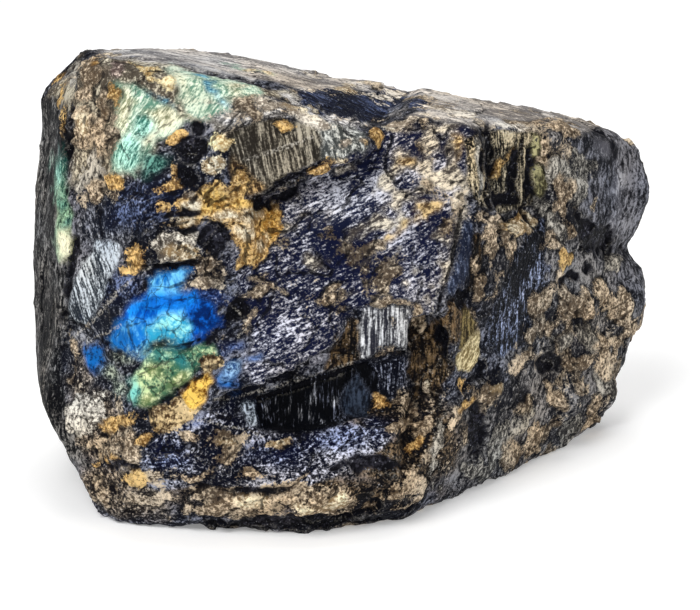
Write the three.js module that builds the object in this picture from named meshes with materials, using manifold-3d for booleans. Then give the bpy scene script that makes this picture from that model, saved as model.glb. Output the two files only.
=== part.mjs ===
// A rough chunk of labradorite, broken from the rock and never cut or polished.
// One solid stone in millimetres, +Z up, with the showy broken face towards -Y. The
// origin is under the middle of the stone, on the broken underside that it rests on.
import * as THREE from "three";
import { ConvexGeometry } from "three/addons/geometries/ConvexGeometry.js";
import { ImprovedNoise } from "three/addons/math/ImprovedNoise.js";
import { TessellateModifier } from "three/addons/modifiers/TessellateModifier.js";
import { mergeVertices } from "three/addons/utils/BufferGeometryUtils.js";
import Module from "manifold-3d";

const wasm = await Module();
wasm.setup();

// Corners of the block before its smaller breaks: the outermost points of its faces.
const BLOCK_CORNERS = {
  // underside, a little below the resting face that is trimmed flat at z = 0
  footLeft: [-34, -18, -1.5],
  footFront: [-6, -21.5, -1.5],
  footFrontRight: [9, -15.5, -1.5],
  footRidge: [17, -7, -1.5],
  footRight: [32, 10.5, -1.5],
  footFarRight: [39.5, 24, -1.5],
  footBackRight: [32, 31, -1.5],
  footBackLeft: [-27, 28, -1.5],
  footFarLeft: [-38, 6, -1.5],
  // belly, where the stone is widest
  bellyLeftFront: [-42, -11, 15],
  bellyLeft: [-47, 8, 18],
  bellyLeftBack: [-41, 27, 22],
  bellyFrontLeft: [-27, -25, 18],
  bellyFront: [-4, -27, 9.5],
  bellyFrontRight: [9, -22, 9],
  bellyRidge: [16, -14.5, 14],
  bellyRight: [33, 8, 10],
  bellyFarRight: [49, 28, 20],
  bellyBackRight: [41, 36, 20],
  bellyBack: [-6, 36, 20],
  // shoulders
  shoulderLeft: [-45, 12, 57],
  shoulderLeftFront: [-39.5, -6, 60],
  shoulderFrontLeft: [-27, -20.5, 50],
  ledgeLowerLeft: [-12.5, -18.5, 49],
  ledgeLowerRight: [4.5, -13.5, 53],
  ridgeMiddle: [15.5, -15, 36],
  shoulderRight: [32, 8, 50],
  shoulderFarRight: [48.2, 30, 36],
  // crown
  crownFrontLeft: [-34.5, -8, 67],
  crownFront: [-20, -11, 65],
  ledgeUpperLeft: [-13, -15, 60.5],
  ledgeUpperRight: [4.5, -11, 59],
  ridgeTop: [19.6, -3, 55.3],
  crownRight: [31, 7, 53],
  crownFarRight: [46.5, 30, 43.5],
  crownRightBack: [37.5, 27, 49.4],
  crownBackRight: [29, 26, 52.3],
  crownBack: [-6, 22, 59.5],
  crownBackMiddle: [-24.5, 18, 63.8],
  crownBackLeft: [-38.5, 16, 63.5],
};

// Each plane of a break has a point on it and the way that it faces, out of the stone.
// The sloping slab in the middle of the front, broken back under the striated ledge.
const SLAB = { point: [-10, -13, 48.7], facing: [0.203, -0.856, 0.476] };
const SLAB_LEFT_EDGE = { point: [-13, -18, 45], facing: [0.75, -0.62, 0.2] };
const LEDGE_UNDERSIDE = { point: [-12.7, -18.5, 48.9], facing: [0.354, -0.159, -0.922] };
const LEDGE_END = { point: [4.2, -10, 56], facing: [0.95, -0.3, 0] };

// Hollows with flat sides, the last three on the back of the stone.
const HOLLOWS = {
  // dark pocket under the slab's lip: a glassy wall over a floor that slopes forward
  pocket: {
    wall: { point: [0, -18.3, 18], facing: [0, -0.995, 0.1] },
    lip: { point: [-14.3, -23.5, 23.2], facing: [0.29, 0.28, -0.92] },
    floor: { point: [-11.4, -19, 13.5], facing: [-0.153, -0.566, 0.809] },
    rightEnd: { point: [1.7, -22, 27.4], facing: [-0.93, -0.02, -0.36] },
    leftEnd: { point: [-17.5, -24.8, 16], facing: [0.6, -0.78, 0.18] },
  },
  // shadowed hollow between the fluted step and the ridge
  ridgeHollow: {
    wall: { point: [12, -12, 25], facing: [-0.25, -0.95, 0.15] },
    top: { point: [12, -15, 31.5], facing: [0, -0.1, -1] },
    floor: { point: [12.4, -14, 14.5], facing: [0, -0.75, 0.66] },
    leftEnd: { point: [9.8, -15, 25], facing: [0.97, -0.2, 0] },
    rightEnd: { point: [15, -14, 25], facing: [-0.75, -0.65, 0] },
  },
  // cleavage face that holds the blue flash, under a small overhang
  flashFace: {
    wall: { point: [-25, -21.6, 33], facing: [-0.2, -0.97, 0.13] },
    top: { point: [-23, -21.8, 41.5], facing: [0.12, -0.3, -0.95] },
    rightEnd: { point: [-15, -22, 32], facing: [-0.8, -0.6, 0] },
  },
  backStep: {
    wall: { point: [4, 26.5, 44], facing: [0.1, 0.98, 0.12] },
    floor: { point: [4, 30, 38], facing: [-0.1, 0.3, 0.95] },
    leftEnd: { point: [-15, 30, 40], facing: [0.6, 0.8, 0] },
    rightEnd: { point: [25, 30, 40], facing: [-0.7, 0.7, 0] },
  },
  backLedge: {
    wall: { point: [-28, 19.5, 52], facing: [-0.25, 0.95, 0.18] },
    floor: { point: [-28, 24, 45], facing: [0.15, 0.3, 0.94] },
    rightEnd: { point: [-17, 24, 50], facing: [-0.5, 0.86, 0] },
  },
  backFoot: {
    wall: { point: [-22, 28.5, 12], facing: [-0.3, 0.92, -0.25] },
    top: { point: [-22, 30, 18], facing: [0.2, 0.2, -0.96] },
    rightEnd: { point: [-4, 30, 10], facing: [-0.75, 0.66, 0] },
  },
};

// Walls of upright columns, where the stone parts along its twin planes. Each is cut back
// from the line a to b, and its flutes run from that line the way that down points.
const FLUTED_WALLS = {
  ledgeFace: {
    a: [-13.5, -14.4, 60.5], b: [4.4, -10.4, 59], down: [0.22, -0.28, -0.93], outward: [0.15, -0.95, 0.25],
    length: 12, pitch: 1.5, relief: 0.7,
  },
  stepUpper: {
    a: [-0.5, -17.8, 34], b: [9.8, -15.6, 34], down: [0.02, -0.05, -1], outward: [0, -1, -0.05],
    length: 16.5, pitch: 1.5, relief: 0.9,
  },
  stepLower: {
    a: [0.5, -15.8, 25], b: [9.6, -13.6, 27.5], down: [0, -0.05, -1], outward: [0, -1, -0.3],
    length: 9, pitch: 1.6, relief: 0.8,
  },
  columns: {
    a: [19, -0.8, 57], b: [29.6, 9.4, 54], down: [0.02, -0.04, -1], outward: [0.75, -0.66, 0],
    length: 16.5, pitch: 1.9, relief: 1.1,
  },
};

// Troughs with a V section, whose bottom runs from a to b and which open outward.
const TROUGHS = {
  top: { a: [2.5, -12, 56.2], b: [11, 26, 54.7], outward: [0, 0, 1], rise: 12, halfWidth: 24 },
  rightWaist: { a: [36.7, 12.1, 31], b: [48.6, 32, 27.8], outward: [0.8, -0.6, 0], rise: 12, halfWidth: 20 },
  rightFoot: { a: [23.4, -6.7, 19.5], b: [41, 21, 9], outward: [0.79, -0.61, 0], rise: 12, halfWidth: 24 },
  backCrown: { a: [-24, 24, 50], b: [-2, 35, 62], outward: [-0.1, 0.9, 0.4], rise: 10, halfWidth: 16 },
};

// Rounded feldspar lumps that stand proud of the stone: centre, half sizes.
const LUMPS = {
  leftOval: [[-35.9, -7.2, 58], [2.6, 2.4, 3.8]],
  leftCrown: [[-34.2, -5, 64], [4, 3.4, 3.2]],
  leftFoot: [[-33.4, -15.6, 4.6], [3.6, 3.4, 3.4]],
  leftBelly: [[-29, -19.6, 12], [5, 4, 4]],
  flashBrow: [[-22.6, -20.4, 43.6], [5, 2, 1.8]],
  crustUpper: [[-18.8, -17.6, 51], [4.2, 2, 3]],
  crustMiddle: [[-16.6, -19, 44.5], [4, 2.2, 4]],
  rowLeft: [[-17.5, -22.4, 7], [2.8, 2.2, 1.8]],
  rowSecond: [[-12.8, -23.4, 7], [2.4, 2.2, 1.7]],
  rowThird: [[-9.2, -24, 6.8], [2, 2, 1.6]],
  rowFourth: [[-5.9, -24.2, 6.2], [2.1, 2.1, 1.8]],
  rowFifth: [[-2.9, -24, 6.8], [1.9, 1.9, 1.5]],
  rowSixth: [[0.4, -22.8, 6.9], [2.3, 2.2, 1.7]],
  rowSeventh: [[4, -21.4, 6.8], [2.1, 2.1, 1.6]],
  rowRight: [[8, -19.4, 6.8], [2.6, 2.2, 2]],
  ridgeFoot: [[13.2, -13.9, 12.4], [2.6, 2.4, 3]],
  ridgeSide: [[21.5, -4.6, 16.4], [3, 2.6, 2.8]],
  columnFoot: [[25.6, 4, 38.2], [3.4, 2.4, 2]],
  columnRight: [[32, 9.6, 37.6], [2.2, 2.2, 3]],
  endShoulder: [[44, 29.6, 37], [4.6, 4, 6]],
  endMiddle: [[35.6, 17, 23.4], [5, 4.4, 5]],
  endBelly: [[43.6, 26.4, 20], [5.4, 5, 6]],
  endLow: [[33, 12, 9.6], [4, 4, 5]],
  endFoot: [[39.4, 21.8, 8], [4, 3.4, 4.4]],
};

const SURFACE = {
  longestEdge: 5.4, // faces are broken up to this size before they are roughened
  middle: [1.5, 4, 32], // roughness pushes away from this point, as from an egg's skin
  halfSizes: [48, 32, 34],
  lumpHeight: 0.8,
  lumpLength: 16,
  grainHeight: 0.2,
  grainLength: 9,
};

const REACH = 150; // how far a break is carried past the stone
const SPLIT_ROUNDS = 12; // times that a long edge may be halved
const SAME_POINT = 1e-4;

const vector = (p) => new THREE.Vector3(...p);

function solidFrom(geometry) {
  const bare = geometry.clone();
  bare.deleteAttribute("normal");
  bare.deleteAttribute("uv");
  const merged = mergeVertices(bare, SAME_POINT);
  return new wasm.Manifold(new wasm.Mesh({
    numProp: 3,
    vertProperties: merged.attributes.position.array,
    triVerts: new Uint32Array(merged.index.array),
  }));
}

function geometryFrom(solid) {
  const mesh = solid.getMesh();
  return new THREE.BufferGeometry()
    .setAttribute("position", new THREE.BufferAttribute(mesh.vertProperties, 3))
    .setIndex(new THREE.BufferAttribute(mesh.triVerts, 1));
}

// Everything in front of a plane, as one large block with a face on it.
function inFrontOf({ point, facing }) {
  const up = new THREE.Vector3(0, 0, 1);
  const turn = new THREE.Quaternion().setFromUnitVectors(up, vector(facing).normalize());
  const block = new THREE.BoxGeometry(2 * REACH, 2 * REACH, REACH).translate(0, 0, REACH / 2);
  return solidFrom(block.applyQuaternion(turn).translate(...point));
}

const common = (solids) => solids.reduce((shared, solid) => shared.intersect(solid));

const hollow = (sides) => common(Object.values(sides).map(inFrontOf));

// The slab runs under the ledge, and past the ledge's end it runs out at the crown.
function slabBreak() {
  const belowOrBesideLedge = inFrontOf(LEDGE_UNDERSIDE).add(inFrontOf(LEDGE_END));
  return common([inFrontOf(SLAB), inFrontOf(SLAB_LEFT_EDGE), belowOrBesideLedge]);
}

function flutedWall({ a, b, down, outward, length, pitch, relief }) {
  const along = vector(b).sub(vector(a));
  const width = along.length();
  const columns = Math.round(width / pitch);
  const step = width / columns / 2;
  const outline = new THREE.Shape().moveTo(0, REACH / 3);
  for (let i = 0; i <= 2 * columns; i++) {
    const uneven = 0.6 + 0.4 * Math.sin(1.7 * i); // no two flutes are equally deep
    outline.lineTo(i * step, i % 2 ? relief * uneven : 0);
  }
  outline.lineTo(width, REACH / 3);
  const block = new THREE.ExtrudeGeometry(outline, { depth: length, bevelEnabled: false });
  const axes = new THREE.Matrix4().makeBasis(along.normalize(), vector(outward), vector(down));
  return solidFrom(block.applyMatrix4(axes.setPosition(...a)));
}

function trough({ a, b, outward, rise, halfWidth }) {
  const out = vector(outward).setLength(rise);
  const side = vector(b).sub(vector(a)).cross(out).setLength(halfWidth);
  const bottom = [vector(a), vector(b)];
  const rims = bottom.flatMap((end) => [end.clone().add(out).add(side), end.clone().add(out).sub(side)]);
  return solidFrom(new ConvexGeometry([...bottom, ...rims]));
}

function lump([centre, halfSizes]) {
  return solidFrom(new THREE.IcosahedronGeometry(1, 1).scale(...halfSizes).translate(...centre));
}

// Breaks the faces up and pushes their points in and out, in long lumps and short grains.
function roughened(geometry) {
  const rough = new TessellateModifier(SURFACE.longestEdge, SPLIT_ROUNDS).modify(geometry);
  const noise = new ImprovedNoise();
  const points = rough.attributes.position;
  const p = new THREE.Vector3();
  const wave = (q, length) => noise.noise(q.x / length, q.y / length, q.z / length);
  for (let i = 0; i < points.count; i++) {
    p.fromBufferAttribute(points, i);
    const out = p.clone().sub(vector(SURFACE.middle));
    const halves = vector(SURFACE.halfSizes);
    out.divide(halves).divide(halves).normalize();
    const height = SURFACE.lumpHeight * wave(p, SURFACE.lumpLength)
      + SURFACE.grainHeight * wave(p, SURFACE.grainLength);
    p.addScaledVector(out, height);
    points.setXYZ(i, p.x, p.y, p.z);
  }
  return rough;
}

const UNDERSIDE = { point: [0, 0, 0], facing: [0, 0, -1] };

const less = (solid, piece) => solid.subtract(piece);
const plus = (solid, piece) => solid.add(piece);

const block = solidFrom(new ConvexGeometry(Object.values(BLOCK_CORNERS).map(vector)));
const flatBreaks = [slabBreak(), ...Object.values(HOLLOWS).map(hollow), ...Object.values(TROUGHS).map(trough)];
const broken = solidFrom(roughened(geometryFrom(flatBreaks.reduce(less, block))));
const fluted = Object.values(FLUTED_WALLS).map(flutedWall).reduce(less, broken);
const lumpy = Object.values(LUMPS).map(lump).reduce(plus, fluted);
const stone = lumpy.subtract(inFrontOf(UNDERSIDE));

const shape = geometryFrom(stone);
shape.computeBoundingBox();
const middle = shape.boundingBox.getCenter(new THREE.Vector3());
shape.translate(-middle.x, -middle.y, 0);

const stoneMesh = new THREE.Mesh(shape, new THREE.MeshStandardMaterial({ color: 0x4a4849, roughness: 0.55 }));
stoneMesh.name = "stone";

const chunk = new THREE.Group();
chunk.add(stoneMesh);

export default chunk;
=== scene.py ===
# Rough labradorite chunk: its broken skin, its finish, the floor, the light and the camera.
import math
import bmesh
import bpy
import numpy as np
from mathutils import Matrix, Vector
from mathutils.bvhtree import BVHTree


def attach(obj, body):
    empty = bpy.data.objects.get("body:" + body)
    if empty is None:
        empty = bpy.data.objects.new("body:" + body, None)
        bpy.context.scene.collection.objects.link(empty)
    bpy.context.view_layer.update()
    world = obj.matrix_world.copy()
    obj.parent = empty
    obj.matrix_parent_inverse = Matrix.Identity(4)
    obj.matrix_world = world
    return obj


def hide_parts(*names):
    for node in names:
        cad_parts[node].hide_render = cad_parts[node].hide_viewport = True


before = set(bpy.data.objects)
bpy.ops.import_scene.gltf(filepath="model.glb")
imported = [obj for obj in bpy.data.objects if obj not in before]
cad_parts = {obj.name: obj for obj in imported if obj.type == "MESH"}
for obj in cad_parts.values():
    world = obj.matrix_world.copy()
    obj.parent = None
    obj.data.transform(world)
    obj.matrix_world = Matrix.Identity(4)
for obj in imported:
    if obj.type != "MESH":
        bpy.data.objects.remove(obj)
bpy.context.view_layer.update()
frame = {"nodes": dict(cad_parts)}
scene = bpy.context.scene
millimetres = 1000   # in a metre
nowhere = -40.0   # a place field's value well outside its place, in pixels
print("frame loaded:", ", ".join(frame["nodes"]))

# The photograph's own view, in pixels and millimetres. Places on the stone are given by its pixels.
photo = {
    "width": 700,
    "height": 610,
    "focal": 2800,
    "distance": 420,
    "elevation": 18,
    "aim": (0.12, -4.78, 27.9),
}
lookDown = math.radians(photo["elevation"])
forward = np.array((0, math.cos(lookDown), -math.sin(lookDown)))
upward = np.array((0, math.sin(lookDown), math.cos(lookDown)))
eye = np.array(photo["aim"]) - photo["distance"] * forward


def toPixels(points):
    away = points - eye
    depth = away @ forward
    across = photo["width"] / 2 + photo["focal"] * away[:, 0] / depth
    down = photo["height"] / 2 - photo["focal"] * (away @ upward) / depth
    return np.stack((across, down), 1)


# Directions that the stone's grain runs in
grainWays = {
    "slab": (0.85, 0.38, 0.33),
    "upright": (0.02, -0.05, 1),
    "leaning": (-0.22, -0.1, -0.95),
    "ledge": (0.22, -0.28, -0.93),
    "silver": (0.37, -0.33, -0.82),
    "aqua": (0.5, 0.2, 0.84),
    "rising": (0.8, 0.2, 0.5),
    "level": (0.98, 0, -0.18),
}

# What lies where on the front, each finish painted over those above it. A place is an outline
# of pixels, or spots of (across, down, half length, half width, turn), the turn in degrees
# anticlockwise. Pale and dark are the two sRGB colours that the grain runs between, and bias
# is the share of pale. Way and stretch give the grain's run and fine its fineness, raise is in
# mm off the skin, and soft, wander and bend are the edge's blur, raggedness and waves in pixels.
# Calm leaves the skin less broken and settle smooths it, flash brings fine crackle, crumble
# brings dark gaps of painted shade between lumps, rim a dark gap of painted shade around a patch,
# glint bright specks of painted highlight and speck the even fine grain. The lumps lie in a layer
# of their own, whose edges the grain breaks up.
usual = {
    "way": None, "stretch": 0, "fine": 1, "bias": 0, "raise": 0, "rough": 0.5, "soft": 1.6, "wander": 4,
    "bend": 4, "calm": 0, "settle": 0, "flash": 0, "crumble": 0, "shadedRim": 0, "paintedGlint": 0.35, "speck": 0.3,
    "layer": "ground", "places": {},
}
finishes = {
    "rightRock": {
        "pale": (154, 151, 150), "dark": (20, 21, 28), "way": "leaning", "stretch": 0.5, "soft": 14,
        "bias": -0.01,
        "places": {
            "right end": [(575, 290, 85, 175, 10)],
            "lower right": [(500, 440, 75, 60, 20)],
        },
    },
    "rightEnd": {
        "pale": (138, 139, 148), "dark": (20, 21, 27), "way": "leaning", "stretch": 0.55, "fine": 0.8,
        "speck": 0.24, "soft": 12, "bias": -0.01, "calm": 0.6, "settle": 0.5, "paintedGlint": 0,
        "places": {
            "right end": [
                (560, 112), (610, 124), (645, 146), (660, 200), (645, 250), (660, 290), (650, 330),
                (622, 300), (600, 255), (580, 235), (585, 180), (566, 150),
            ],
        },
    },
    "leftRough": {
        "pale": (160, 162, 170), "dark": (20, 23, 32), "soft": 10, "bias": -0.03, "way": "silver",
        "stretch": 0.6,
        "places": {
            "below the left lumps": [(112, 222, 34, 26, 30)],
            "left edge": [(82, 345, 18, 70, 0), (105, 318, 28, 22, 30)],
        },
    },
    "navyStreak": {
        "pale": (112, 126, 164), "dark": (12, 16, 32), "way": "rising", "stretch": 0.75, "soft": 8,
        "bias": -0.03,
        "places": {
            "under the aqua": [(150, 206, 50, 22, 15)],
            "beside the flash": [(120, 290, 22, 16, 40)],
        },
    },
    "lowerLeft": {
        "pale": (198, 180, 158), "dark": (32, 27, 26), "soft": 9, "bias": -0.02, "crumble": 0.3,
        "places": {
            "left foot": [(93, 424, 28, 34, 0), (80, 385, 12, 30, 0)],
            "foot edge": [(118, 492, 55, 24, -15)],
        },
    },
    "lowerBrown": {
        "pale": (132, 114, 92), "dark": (14, 13, 15), "soft": 9, "bias": -0.04,
        "places": {
            "bottom middle": [(300, 492, 125, 20, 0)],
            "below the pocket's end": [(402, 440, 62, 52, 0)],
        },
    },
    "browStone": {
        "pale": (216, 206, 182), "dark": (78, 70, 60), "way": "upright", "stretch": 0.6, "soft": 6,
        "crumble": 0.3, "calm": 0.3, "paintedGlint": 0,
        "places": {
            "around the aqua": [
                (44, 96), (70, 58), (96, 44), (172, 62), (250, 74), (300, 92), (330, 108), (300, 118),
                (258, 118), (222, 130), (204, 116), (182, 122), (162, 142), (158, 160), (118, 184),
                (92, 196), (72, 180), (68, 116),
            ],
        },
    },
    "browGrey": {
        "pale": (236, 232, 228), "dark": (54, 54, 60), "way": "level", "stretch": 0.7, "soft": 5,
        "bias": 0.02,
        "places": {
            "above the ledge": [
                (206, 104), (240, 97), (290, 93), (350, 114), (380, 130), (340, 132), (320, 118),
                (278, 118), (256, 120), (228, 128), (206, 118),
            ],
        },
    },
    "slab": {
        "pale": (218, 217, 228), "dark": (13, 18, 44), "way": "slab", "stretch": 0.7, "soft": 5,
        "bias": -0.035, "fine": 1.5, "speck": 0.28, "rough": 0.45,
        "places": {
            "slab": [
                (228, 222), (262, 200), (300, 188), (345, 152), (400, 128), (468, 120), (478, 140),
                (462, 205), (450, 262), (436, 318), (405, 303), (345, 318), (330, 350), (262, 386),
                (240, 372), (252, 330), (235, 280),
            ],
        },
    },
    "slabPale": {
        "pale": (226, 226, 236), "dark": (22, 28, 52), "way": "slab", "stretch": 0.72, "soft": 14,
        "fine": 1.5, "speck": 0.28,
        "places": {"upper slab": [(340, 205, 62, 22, 22)]},
    },
    "lens": {
        "pale": (220, 224, 244), "dark": (7, 10, 26), "soft": 2.5, "bias": -0.045,
        "places": {
            "lens": [
                (141, 474), (148, 448), (167, 431), (200, 414), (232, 405), (262, 430), (330, 428),
                (378, 420), (392, 440), (360, 470), (300, 486), (200, 490), (150, 486),
            ],
        },
    },
    "slabBeige": {
        "pale": (232, 220, 198), "dark": (62, 56, 54), "way": "slab", "stretch": 0.72, "soft": 5,
        "fine": 1.3, "wander": 8, "raise": 0.06, "rough": 0.6, "bias": 0.005, "paintedGlint": 0, "speck": 0.22,
        "places": {
            "slab": [
                (412, 150, 22, 7, 30), (448, 178, 14, 11, 40), (461, 203, 5, 14, 0),
                (432, 163, 10, 6, 30), (395, 165, 12, 4, 25), (380, 178, 14, 4, 25),
                (405, 196, 12, 5, 30), (384, 226, 12, 3, 25), (425, 240, 12, 3, 25),
                (432, 262, 16, 3, 25), (447, 258, 5, 14, -14), (350, 238, 12, 3, 25),
                (368, 262, 10, 3, 20), (330, 216, 10, 3, 25), (345, 172, 12, 3, 20),
                (316, 262, 10, 3, 15), (430, 300, 6, 9, -20), (400, 286, 12, 3, 20),
                (352, 296, 10, 4, 20), (290, 226, 9, 3, 25),
            ],
            "upper right": [
                (450, 178, 18, 14, 40), (425, 150, 30, 9, 28), (452, 150, 12, 10, 0),
                (400, 168, 18, 5, 28), (440, 128, 26, 6, 5), (458, 225, 5, 16, -8),
                (425, 186, 16, 5, 30), (370, 190, 16, 3, 25),
            ],
        },
    },
    "slabOchre": {
        "pale": (226, 196, 142), "dark": (84, 64, 42), "way": "slab", "stretch": 0.6, "soft": 4,
        "wander": 6, "raise": 0.1, "rough": 0.6, "bias": 0.02, "paintedGlint": 0,
        "places": {
            "slab": [
                (431, 208, 11, 9, 40), (461, 142, 6, 12, -8), (408, 160, 9, 4, 20),
                (416, 220, 8, 3, 30), (386, 240, 8, 3, 25), (352, 262, 8, 3, 20),
            ],
        },
    },
    "lensBright": {
        "pale": (182, 197, 242), "dark": (8, 12, 36), "soft": 9, "bias": -0.05,
        "places": {
            "pocket sill": [(345, 436, 44, 11, 12), (275, 452, 40, 12, 8), (170, 454, 16, 14, 0)],
        },
    },
    "topGrey": {
        "pale": (214, 207, 199), "dark": (104, 101, 101), "way": "level", "stretch": 0.8, "soft": 2.5,
        "rough": 0.6, "calm": 0.6, "bend": 1, "settle": 1,
        "places": {
            "top left": [
                (95, 40), (140, 36), (250, 42), (340, 72), (400, 80), (440, 84), (385, 92), (330, 93),
                (295, 86), (245, 73), (172, 66), (104, 52),
            ],
            "top right": [
                (420, 90), (470, 90), (545, 106), (600, 122), (590, 136), (545, 128), (480, 127),
                (440, 120), (400, 118), (430, 105),
            ],
        },
    },
    "crust": {
        "pale": (214, 197, 172), "dark": (82, 70, 58), "rough": 0.66, "crumble": 0.6, "paintedGlint": 0,
        "layer": "lumps",
    },
    "leftShade": {
        "pale": (142, 140, 138), "dark": (8, 9, 13), "way": "upright", "stretch": 0.5, "bias": -0.035,
        "fine": 0.9, "speck": 0.28, "rough": 0.6, "calm": 0.6, "bend": 2, "settle": 1, "paintedGlint": 0,
        "soft": 5,
        "places": {
            "left face": [
                (20, 120), (44, 98), (58, 96), (66, 112), (64, 140), (66, 160), (66, 205), (72, 235),
                (66, 280), (66, 320), (60, 350), (66, 400), (92, 470), (50, 460), (20, 380),
            ],
        },
    },
    "trough": {
        "pale": (84, 96, 130), "dark": (12, 16, 32), "way": "level", "stretch": 0.8, "bias": -0.03,
        "calm": 0.5,
        "places": {
            "top trough": [
                (296, 88), (340, 92), (352, 92), (430, 90), (447, 97), (420, 107), (385, 116),
                (362, 122), (330, 118), (305, 106),
            ],
        },
    },
    "ledgeFace": {
        "pale": (172, 163, 145), "dark": (39, 35, 30), "way": "ledge", "stretch": 0.9, "soft": 1.6,
        "paintedGlint": 0, "wander": 3, "bend": 1.5, "fine": 1.6, "calm": 0.9, "rough": 0.42, "speck": 0.2,
        "places": {
            "ledge": [
                (224, 132), (258, 119), (278, 117), (302, 124), (321, 117), (338, 132), (349, 152),
                (321, 160), (295, 175), (269, 190), (254, 197), (237, 180), (226, 164), (230, 151),
            ],
        },
    },
    "ledgeBrown": {
        "pale": (196, 160, 108), "dark": (50, 36, 24), "way": "ledge", "stretch": 0.9, "soft": 4,
        "fine": 1.4, "calm": 0.8, "paintedGlint": 0,
        "places": {
            "ledge's foot": [(232, 160), (248, 168), (268, 186), (254, 200), (238, 196), (226, 176)],
        },
    },
    "ledgeEnd": {
        "pale": (218, 219, 212), "dark": (62, 65, 64), "way": "ledge", "stretch": 0.7, "soft": 4,
        "bias": 0.01, "calm": 0.5, "paintedGlint": 0,
        "places": {
            "ledge's right end": [
                (322, 124), (348, 126), (368, 134), (364, 152), (346, 160), (326, 156),
            ],
        },
    },
    "silverFace": {
        "pale": (212, 221, 230), "dark": (30, 37, 46), "way": "silver", "stretch": 0.93, "soft": 2.5,
        "fine": 1.3, "bend": 3, "bias": 0.02, "paintedGlint": 0, "calm": 0.9, "rough": 0.4,
        "places": {
            "left of the flash": [
                (70, 290), (80, 262), (97, 243), (122, 243), (116, 268), (104, 298), (92, 321),
                (76, 320),
            ],
            "pocket's left end": [(247, 404), (256, 401), (257, 427), (249, 424)],
        },
    },
    # Slate-blue panel beside the slab's edge, darker as painted shade of the recess
    "slatePanelAndShade": {
        "pale": (98, 110, 138), "dark": (24, 30, 48), "way": "upright", "stretch": 0.85, "soft": 1.2,
        "calm": 1, "rough": 0.3, "bend": 1, "wander": 2, "bias": -0.03,
        "places": {
            "edge panel": [(463, 220), (473, 222), (473, 262), (462, 298), (447, 294), (455, 260)],
        },
    },
    "navyPanel": {
        "pale": (178, 190, 224), "dark": (3, 5, 13), "way": "leaning", "stretch": 0.75, "bias": -0.06,
        "fine": 1.2, "bend": 2, "calm": 0.8, "rough": 0.32,
        "places": {
            "right panel": [
                (529, 220), (546, 222), (549, 262), (545, 290), (532, 318), (528, 345), (505, 356),
                (484, 345), (487, 315), (500, 290), (512, 262),
            ],
        },
    },
    # Dark umber steps, darker still as painted shade in the hollow beside the comb
    "umberStepAndShade": {
        "pale": (128, 104, 74), "dark": (14, 12, 12), "way": "upright", "stretch": 0.8, "bias": -0.03,
        "places": {
            "beside the comb": [
                (411, 318), (425, 325), (436, 318), (448, 330), (452, 375), (440, 402), (415, 395),
                (408, 360),
            ],
            "slab's foot": [(446, 298), (464, 296), (470, 310), (462, 335), (450, 345), (438, 322)],
            "left of the comb": [
                (330, 350), (345, 324), (362, 318), (360, 362), (340, 368), (330, 366),
            ],
            "edge strip": [(474, 235), (481, 232), (479, 268), (472, 290), (466, 290), (472, 262)],
        },
    },
    "columns": {
        "pale": (226, 208, 172), "dark": (12, 11, 11), "way": "upright", "stretch": 0.94, "bias": -0.02,
        "calm": 0.6, "fine": 1.3, "bend": 1, "wander": 2,
        "places": {
            "under the top": [
                (464, 140), (488, 130), (530, 131), (546, 140), (548, 180), (540, 205), (500, 214),
                (478, 205), (468, 180),
            ],
        },
    },
    "paleStrip": {
        "pale": (206, 204, 196), "dark": (70, 69, 68), "way": "upright", "stretch": 0.94, "wander": 1,
        "soft": 1, "fine": 1.6, "paintedGlint": 0,
        "places": {"column": [(477, 138), (487, 135), (488, 160), (482, 190), (477, 200), (479, 170)]},
    },
    "oliveStrip": {
        "pale": (182, 176, 130), "dark": (64, 60, 42), "way": "upright", "stretch": 0.88, "wander": 2,
        "soft": 3, "paintedGlint": 0,
        "places": {
            "column": [
                (530, 135), (543, 142), (548, 180), (544, 200), (535, 205), (532, 180), (527, 150),
            ],
        },
    },
    "yellowStep": {
        "pale": (152, 134, 88), "dark": (36, 29, 18), "way": "upright", "stretch": 0.88, "wander": 2,
        "soft": 2, "calm": 0.8, "fine": 1.3, "paintedGlint": 0,
        "places": {
            "above the facet": [
                (464, 306), (474, 314), (482, 322), (480, 334), (470, 342), (462, 350), (455, 350),
                (460, 332),
            ],
        },
    },
    "yellowFacet": {
        "pale": (240, 224, 178), "dark": (124, 108, 70), "way": "rising", "stretch": 0.7, "wander": 1,
        "soft": 1, "calm": 0.9, "bend": 1, "paintedGlint": 0,
        "places": {
            "yellow facet": [
                (455, 354), (462, 350), (472, 335), (481, 329), (482, 342), (478, 361), (471, 373),
                (456, 371),
            ],
        },
    },
    "comb": {
        "pale": (230, 229, 228), "dark": (38, 38, 46), "way": "upright", "stretch": 0.97, "soft": 1.4,
        "wander": 3, "bend": 1, "fine": 1.5, "speck": 0.2, "paintedGlint": 0, "calm": 0.9, "rough": 0.4,
        "places": {
            "comb": [
                (362, 307), (385, 303), (408, 300), (411, 320), (408, 352), (372, 360), (358, 362),
                (360, 330),
            ],
        },
    },
    "lowerComb": {
        "pale": (196, 204, 230), "dark": (7, 9, 20), "way": "upright", "stretch": 0.94, "bias": -0.02,
        "calm": 0.8, "fine": 1.4, "bend": 1,
        "places": {
            "under the comb": [(358, 362), (407, 354), (404, 385), (392, 402), (370, 388), (356, 380)],
        },
    },
    "pocket": {
        "pale": (150, 158, 184), "dark": (2, 3, 7), "way": "upright", "stretch": 0.95, "bias": -0.1,
        "soft": 1, "wander": 1, "bend": 0.5, "fine": 2.2, "calm": 1, "rough": 0.25, "paintedGlint": 0,
        "speck": 0.1,
        "places": {
            "pocket": [
                (254, 396), (290, 384), (345, 366), (366, 360), (378, 372), (378, 395), (366, 415),
                (330, 428), (285, 434), (258, 428),
            ],
        },
    },
    "pocketSlate": {
        "pale": (64, 76, 96), "dark": (13, 17, 27), "way": "upright", "stretch": 0.6, "soft": 3,
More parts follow.
